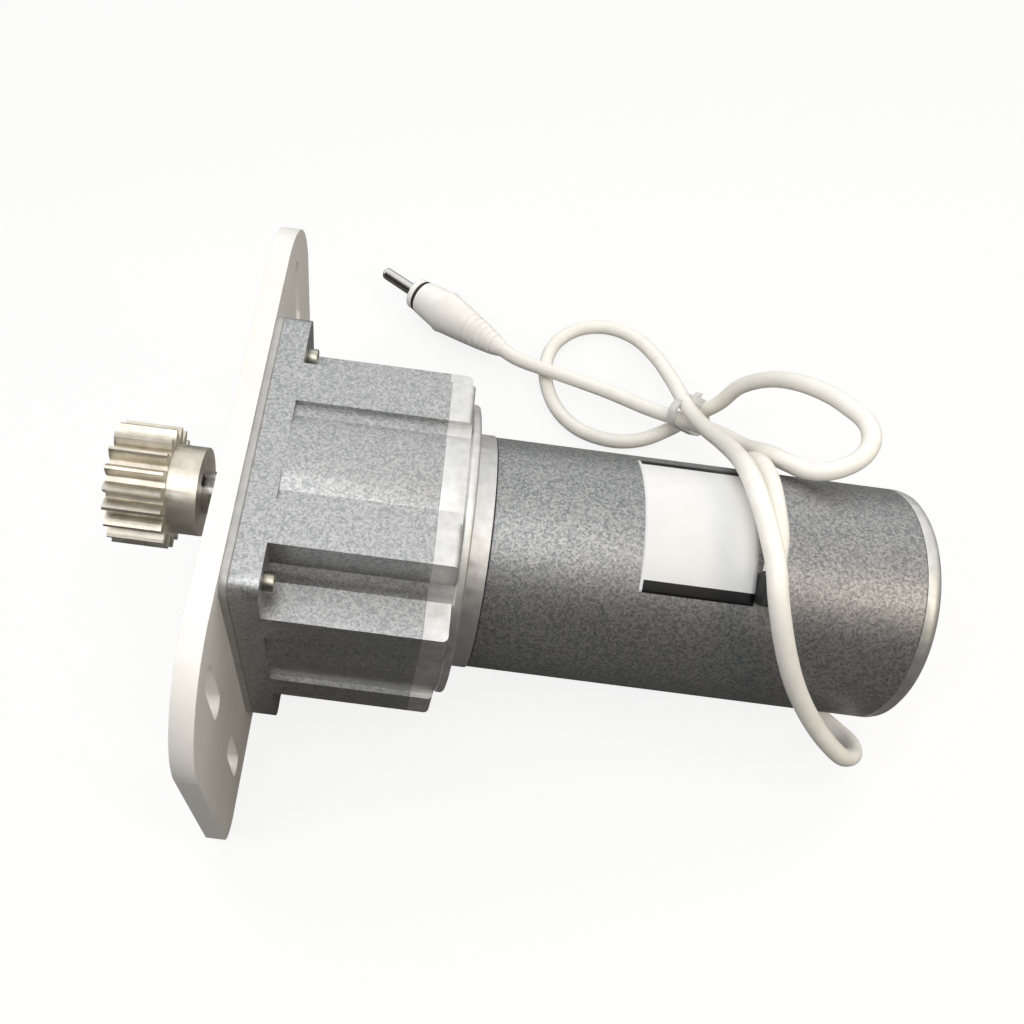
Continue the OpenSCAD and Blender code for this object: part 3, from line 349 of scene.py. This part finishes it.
def clear_nylon():
    """Natural nylon of a cable tie: milky and half clear."""
    material, tree, shader, place = start_material(
        "natural_nylon", Roughness=0.35, IOR=1.53, Transmission_Weight=0.45)
    colour = mottled(tree, place, 3, "#e6e6e0", "#f4f4f0", 2.0)
    tree.links.new(colour, shader.inputs["Base Color"])
    return material


def label_film():
    """Coated film: white with a black bar along each end, by the label's own UV."""
    material, tree, shader, place = start_material("label_film", Roughness=0.38)
    along = add(tree, "ShaderNodeUVMap", {"uv_map": "label"}).outputs["UV"]
    parts = add(tree, "ShaderNodeSeparateXYZ", None, {"Vector": along})
    top = add(tree, "ShaderNodeMath", {"operation": "LESS_THAN"},
              {0: parts.outputs["Y"], 1: TOP_BAR_END})
    foot = add(tree, "ShaderNodeMath", {"operation": "GREATER_THAN"},
               {0: parts.outputs["Y"], 1: FOOT_BAR_START})
    ends = add(tree, "ShaderNodeMath", {"operation": "MAXIMUM"},
               {0: top.outputs[0], 1: foot.outputs[0]})
    inside = add(tree, "ShaderNodeMath", {"operation": "GREATER_THAN"},
                 {0: parts.outputs["X"], 1: LABEL_MARGIN / LABEL_LENGTH})
    bars = add(tree, "ShaderNodeMath", {"operation": "MULTIPLY"},
               {0: ends.outputs[0], 1: inside.outputs[0]})
    paper = mottled(tree, place, 8, "#d7d8d6", "#dcdcda", 3.0)
    mix = add(tree, "ShaderNodeMix", {"data_type": "RGBA"},
              {0: bars.outputs[0], 6: paper, 7: linear("#0e0f10")})
    tree.links.new(mix.outputs[2], shader.inputs["Base Color"])
    return material


# Sprayed on the case: mid grey and nearly all flake
CASE_ENAMEL = speckled_enamel("speckled_case_enamel", "#929394", "#bcbcbc", 0.92, 0.45)
# Sprayed on the tube: darker, with flakes further apart in shade
TUBE_ENAMEL = speckled_enamel("speckled_tube_enamel", "#747678", "#a8a8a7", 0.78, 0.48)
CREAM = cream_enamel()
ALUMINIUM = bare_aluminium()
# Cut gear teeth, left bare: a straw tint and broad soft lights along the teeth
PINION_STEEL = turned_steel("machined_gear_steel", "#c8c0b2", "#e2dccf", 0.36, 0.52)
# Ground shafts: grey and nearly bright
SHAFT_STEEL = turned_steel("ground_shaft_steel", "#a3a2a0", "#bdbcb9", 0.2, 0.36)
# Blackened screws: dark, with a dull glint
SCREW_STEEL = turned_steel("dark_screw_steel", "#4c4d50", "#6e6f71", 0.3, 0.5)
# Zinc-plated screws: pale with a yellow cast
ZINC_STEEL = turned_steel("zinc_plated_screw_steel", "#a8a598", "#c4c1b5", 0.3, 0.45)
# Nickel-plated pin: bright, with sharp dark and light stripes
PIN_NICKEL = turned_steel("nickel_plated_pin", "#c4c2bd", "#d8d6d1", 0.12, 0.25)
# Ground bearing rings: bright and even
BEARING_STEEL = turned_steel("bearing_steel", "#b4b4b6", "#c8c8ca", 0.15, 0.28)
# Moulded rubber: nearly black and dull
RUBBER = moulded("black_rubber", "#151516", "#232325", 0.6)
# Pressed paper: flat warm grey
GASKET = moulded("gasket_paper", "#77756f", "#8a8880", 0.8)
# Milled cover: dull pale grey
COVER_METAL = moulded("dull_cover_aluminium", "#a4a4a2", "#b6b6b3", 0.55, metallic=0.5)
# Extruded soft vinyl: warm white with a faint gloss
CORD_VINYL = moulded("cream_cord_vinyl", "#ece9df", "#f4f1e9", 0.42, grain_mm=1.2)
# Moulded vinyl: whiter and glossier than the cord
PLUG_VINYL = moulded("white_plug_vinyl", "#eeece6", "#f6f4ee", 0.36, grain_mm=1.5)
NYLON = clear_nylon()
LABEL = label_film()
# Pressed and sintered bushes: brown gold with fine pores
BRONZE = moulded("sintered_bronze", "#8f6d3c", "#a98450", 0.42, grain_mm=0.5, metallic=1.0)
# Varnished wire and bars: reddish brown with a soft shine
COPPER = moulded("enamelled_copper", "#8c4a1c", "#b06a34", 0.35, grain_mm=0.6, metallic=0.8)
# Ground magnets: dark brown grey and dull
FERRITE = moulded("ground_ferrite", "#3a3735", "#4c4846", 0.6)
# Stacked sheet iron: dark grey with a low shine
CORE_IRON = moulded("stacked_core_sheet", "#4c4d50", "#66676a", 0.5, grain_mm=0.6, metallic=0.9)
# Pressed resin board: deep brown, half dull
BROWN = moulded("brown_phenolic", "#4a2f22", "#5e3d2c", 0.5)
# Pressed carbon: nearly black and dull
CARBON = moulded("pressed_carbon", "#222224", "#303033", 0.6)

NODE_FINISH = {
    "mounting_plate": CREAM, "plate_screws": SCREW_STEEL, "case_cover": COVER_METAL,
    "case_gasket": GASKET, "gear_case": CASE_ENAMEL, "case_screws": ZINC_STEEL,
    "motor_adapter": ALUMINIUM, "adapter_screws": SCREW_STEEL,
    "front_motor_bearing": BEARING_STEEL, "motor_tube": TUBE_ENAMEL, "rating_label": LABEL,
    "field_magnets": FERRITE, "rear_bell": ALUMINIUM, "through_bolts": SCREW_STEEL,
    "rear_motor_bearing": BEARING_STEEL, "brush_holder": BROWN, "brushes": CARBON,
    "brush_springs": SHAFT_STEEL, "output_bearing_front": BEARING_STEEL,
    "output_bearing_rear": BEARING_STEEL, "bearing_circlip": SCREW_STEEL,
    "output_seal": RUBBER, "first_shaft_bushes": BRONZE, "second_shaft_bushes": BRONZE,
    "cord_grommet": RUBBER, "power_cord": CORD_VINYL, "cable_tie": NYLON,
    "plug_body": PLUG_VINYL, "plug_boot": PLUG_VINYL, "plug_collar": PLUG_VINYL,
    "plug_o_ring": RUBBER, "plug_pin": PIN_NICKEL, "armature_shaft": SHAFT_STEEL,
    "armature_pinion": SHAFT_STEEL, "armature_core": CORE_IRON, "armature_windings": COPPER,
    "commutator": COPPER, "first_gear": SHAFT_STEEL, "first_shaft": SHAFT_STEEL,
    "second_pinion": SHAFT_STEEL, "second_gear": SHAFT_STEEL, "second_shaft": SHAFT_STEEL,
    "third_pinion": SHAFT_STEEL, "output_shaft": SHAFT_STEEL, "output_gear": SHAFT_STEEL,
    "gear_key": SCREW_STEEL, "gear_circlip": SCREW_STEEL, "drive_pinion": PINION_STEEL,
    "pinion_key": SCREW_STEEL, "pinion_set_screw": SCREW_STEEL,
}
for name, material in NODE_FINISH.items():
    mesh = nodes[name].data
    mesh.materials.clear()
    mesh.materials.append(material)


# Camera and stage

def camera_axes():
    """Right, up and back of the camera from its azimuth, elevation and roll."""
    a, e, r = (math.radians(x) for x in (CAMERA_AZIMUTH, CAMERA_ELEVATION, CAMERA_ROLL))
    forward = -np.array([math.sin(a) * math.cos(e), -math.cos(a) * math.cos(e), math.sin(e)])
    right = unit(np.cross(forward, (0, 0, 1)))
    down = np.cross(forward, right)
    rolled = math.cos(r) * right + math.sin(r) * down
    return rolled, -np.cross(forward, rolled), -forward


def make_camera():
    """The scene's camera, at its place and along its axes."""
    camera = bpy.data.objects.new("camera", bpy.data.cameras.new("camera"))
    bpy.context.scene.collection.objects.link(camera)
    camera.data.sensor_width = CAMERA_SENSOR
    camera.data.lens = CAMERA_LENS
    camera.data.shift_x, camera.data.shift_y = CAMERA_SHIFT
    camera.data.clip_start = 0.01
    camera.data.clip_end = 20
    turn = np.eye(4)
    turn[:3, :3] = np.array(camera_axes()).T
    turn[:3, 3] = np.array(CAMERA_PLACE) * MM
    camera.matrix_world = Matrix(turn.tolist())
    bpy.context.scene.camera = camera


def table_turn():
    """Frame of the table under the object: the floor's middle, and its axes tilted about Y."""
    z = TABLE_Z + TABLE_SLOPE * (FLOOR_X - TABLE_X)
    turn = Matrix.Rotation(-math.atan(TABLE_SLOPE), 4, "Y")
    turn.translation = (FLOOR_X * MM, 0, (z - FLOOR_GAP) * MM)
    return turn


def seen_share(tree, in_metal):
    """1 for what the camera sees, also through clear things, and less for what metal mirrors."""
    path = add(tree, "ShaderNodeLightPath")
    straight = add(tree, "ShaderNodeMath", {"operation": "MAXIMUM"},
                   {0: path.outputs["Is Camera Ray"], 1: path.outputs["Is Transmission Ray"]})
    mirrored = add(tree, "ShaderNodeMath", {"operation": "MULTIPLY"},
                   {0: path.outputs["Is Glossy Ray"], 1: in_metal})
    both = add(tree, "ShaderNodeMath", {"operation": "MAXIMUM"},
               {0: straight.outputs[0], 1: mirrored.outputs[0]})
    return both.outputs[0]


def make_floor():
    """A wide flat sheet on the table's plane, white to the eye but with the object's shadow."""
    s = FLOOR_HALF_SIDE
    mesh = bpy.data.meshes.new("floor")
    mesh.from_pydata([(-s, -s, 0), (s, -s, 0), (s, s, 0), (-s, s, 0)], [], [(0, 1, 2, 3)])
    floor = bpy.data.objects.new("floor", mesh)
    floor.matrix_world = table_turn()
    bpy.context.scene.collection.objects.link(floor)
    material = bpy.data.materials.new("white_paper_floor")
    material.use_nodes = True
    tree = material.node_tree
    tree.nodes.clear()
    seen = seen_share(tree, FLOOR_IN_METAL)
    share = add(tree, "ShaderNodeMath", {"operation": "MULTIPLY"}, {0: seen, 1: FLOOR_WHITE})
    glossy = add(tree, "ShaderNodeLightPath").outputs["Is Glossy Ray"]
    unseen = add(tree, "ShaderNodeMix", {"data_type": "RGBA"},
                 {0: glossy, 6: linear(FLOOR_UNSEEN), 7: linear(FLOOR_MIRRORED)})
    tone = add(tree, "ShaderNodeMix", {"data_type": "RGBA"},
               {0: seen, 6: unseen.outputs[2], 7: linear(FLOOR_SEEN)})
    paper = add(tree, "ShaderNodeBsdfDiffuse", None, {"Color": tone.outputs[2]})
    glow = add(tree, "ShaderNodeEmission", None, {"Color": (1, 1, 1, 1), "Strength": 1.0})
    mix = add(tree, "ShaderNodeMixShader", None,
              {0: share.outputs[0], 1: paper.outputs[0], 2: glow.outputs[0]})
    add(tree, "ShaderNodeOutputMaterial", None, {"Surface": mix.outputs[0]})
    mesh.materials.append(material)


def make_world():
    """A white wall behind and above the object, and a dim room on the side of the camera."""
    world = bpy.data.worlds.new("studio")
    bpy.context.scene.world = world
    world.use_nodes = True
    tree = world.node_tree
    tree.nodes.clear()
    toward = add(tree, "ShaderNodeSeparateXYZ", None,
                 {"Vector": add(tree, "ShaderNodeTexCoord").outputs["Generated"]})
    wall = add(tree, "ShaderNodeMapRange", {"interpolation_type": "SMOOTHSTEP"},
               {"Value": toward.outputs["Y"], "From Min": ROOM_EDGE[0], "From Max": ROOM_EDGE[1],
                "To Min": ROOM_DARK, "To Max": ROOM_WALL})
    seen = seen_share(tree, 0.0)
    strength = add(tree, "ShaderNodeMath", {"operation": "MAXIMUM"}, {0: wall.outputs[0], 1: seen})
    sky = add(tree, "ShaderNodeBackground", None,
              {"Color": (1, 1, 1, 1), "Strength": strength.outputs[0]})
    add(tree, "ShaderNodeOutputWorld", None, {"Surface": sky.outputs[0]})


def make_light(name, place, target, size, power, colour):
    """A square soft lamp at a place, aimed at a target, in metres and watts."""
    lamp = bpy.data.lights.new(name, "AREA")
    lamp.size = size
    lamp.energy = power
    lamp.color = linear(colour)[:3]
    light = bpy.data.objects.new(name, lamp)
    bpy.context.scene.collection.objects.link(light)
    aim = Vector(target) - Vector(place)
    light.matrix_world = Matrix.Translation(place) @ aim.to_track_quat("-Z", "Y").to_matrix().to_4x4()


bpy.context.scene.view_settings.view_transform = "Standard"
make_camera()

# Cord
cord_line = smooth_line(CORD_ROUTE, CORD_STEPS)
cord = tube("cord", cord_line, CORD_DIAMETER / 2, CORD_VINYL, CORD_SIDES)
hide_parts("power_cord")

make_floor()
make_world()
make_light("overhead", place=(0.02, -0.24, 1.0), target=(0.1, -0.01, 0), size=0.75, power=5.8,
           colour="#ffffff")
make_light("left", place=(-0.7, -0.45, 0.7), target=(0, 0, 0), size=0.5, power=3.8, colour="#ffffff")
make_light("right", place=(0.75, -0.25, 0.65), target=(0.2, 0, 0.03), size=0.3, power=2.3,
           colour="#fff0dc")


# Edges: loose triangles are joined, flat faces made whole and sharp corners rounded

for name, width in EDGE_MM.items():
    piece = nodes[name]
    weld = piece.modifiers.new("weld", "WELD")
    weld.merge_threshold = WELD_MM * MM
    flat = piece.modifiers.new("flat", "DECIMATE")
    flat.decimate_type = "DISSOLVE"
    flat.angle_limit = math.radians(FLAT_WITHIN_DEGREES)
    edge = piece.modifiers.new("edge", "BEVEL")
    edge.width = width * MM
    edge.segments = EDGE_STEPS
    edge.limit_method = "ANGLE"
    edge.angle_limit = math.radians(EDGE_FROM_DEGREES)
    edge.harden_normals = True
    edge.use_clamp_overlap = True


# Motor tube and label

def make_shell():
    """The tube's wall, turned about the motor's axis, with its four corners rounded."""
    front = TUBE_START + TUBE_SEAM
    profile = rounded([
        (TUBE_START + BORE_JOIN[0], TUBE_BORE), (front, TUBE_BORE), (front, TUBE_RADIUS),
        (TUBE_END, TUBE_RADIUS), (TUBE_END, TUBE_BORE), (TUBE_START + BORE_JOIN[1], TUBE_BORE)],
        TUBE_EDGE)
    shell = lathe("motor_shell", profile, (0, MOTOR_Y, 0), (1, 0, 0), TUBE_ENAMEL, TUBE_SIDES)
    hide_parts("motor_tube")


def make_label():
    """A sheet round the tube: angle by place along X, with UV of the same two parameters."""
    rows, columns = 64, 24
    a = np.radians(np.linspace(*LABEL_ANGLES, rows))[:, None]
    x = np.linspace(LABEL_X, LABEL_X + LABEL_LENGTH, columns)[None, :]
    r = TUBE_RADIUS + LABEL_LIFT
    points = np.stack(np.broadcast_arrays(x, MOTOR_Y + r * np.cos(a), r * np.sin(a)), axis=-1)
    sheet = make_piece("label_sheet", points, grid_faces(rows, columns).tolist(), LABEL)
    across, down = np.meshgrid(np.linspace(0, 1, columns), np.linspace(0, 1, rows))
    uv = np.stack([across, down], axis=-1).reshape(-1, 2)
    corner = np.zeros(len(sheet.data.loops), int)
    sheet.data.loops.foreach_get("vertex_index", corner)
    layer = sheet.data.uv_layers.new(name="label")
    layer.data.foreach_set("uv", uv[corner].ravel())
    thick = sheet.modifiers.new("thick", "SOLIDIFY")
    thick.thickness = LABEL_THICKNESS * MM
    thick.offset = 0
    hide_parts("rating_label")


make_shell()
make_label()
